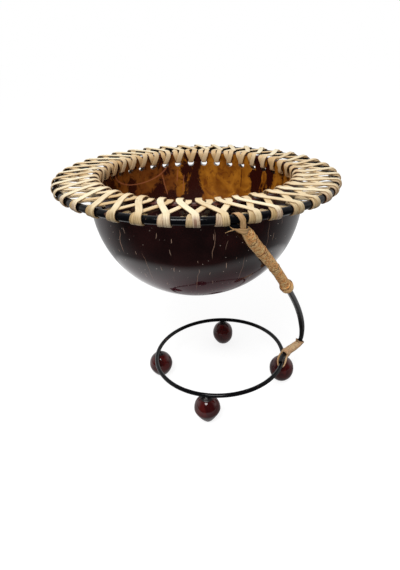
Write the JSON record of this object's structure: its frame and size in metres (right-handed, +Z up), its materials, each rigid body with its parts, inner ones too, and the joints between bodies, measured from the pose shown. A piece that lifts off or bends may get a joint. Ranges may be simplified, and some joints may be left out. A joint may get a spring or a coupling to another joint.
{
  "type": "footed coconut bowl",
  "caption": "Half coconut shell bowl with a laced rattan brim on an iron hoop, carried by one bent arm over a base hoop on seed feet.",
  "frame": {"origin": "on the floor, under the middle of the brim", "axes": "+Z up; +X towards the side where the arm meets the base hoop; -Y towards the picture's camera"},
  "size_m": [0.1757, 0.1758, 0.1669],
  "materials": {
    "coconut_shell": "polished and lacquered, near-black brown outside, amber and dark brown inside",
    "black_iron": "glossy black paint on iron bar",
    "rattan_strip": "pale straw, satin, faint length grain",
    "bark_strip": "tan brown bark strip, mottled, matt",
    "seed": "glossy dark red-brown seed",
    "black_glue": "glossy black glue over an iron pin"
  },
  "bodies": {
    "root": {"coconut_shell": "coconut_shell", "brim_hoop": "black_iron", "lacing_first_pass_1": "rattan_strip", "lacing_first_pass_2": "rattan_strip", "lacing_second_pass_1": "rattan_strip", "lacing_second_pass_2": "rattan_strip", "arm": "black_iron", "arm_binding": "bark_strip", "arm_binding_collar": "bark_strip", "foot_binding": "bark_strip", "brim_strap": "bark_strip", "foot_strap": "bark_strip", "base_hoop": "black_iron", "seed_foot_1": "seed", "seed_foot_2": "seed", "seed_foot_3": "seed", "seed_foot_4": "seed", "foot_pin_1": "black_glue", "foot_pin_2": "black_glue", "foot_pin_3": "black_glue", "foot_pin_4": "black_glue"}
  },
  "joints": []
}
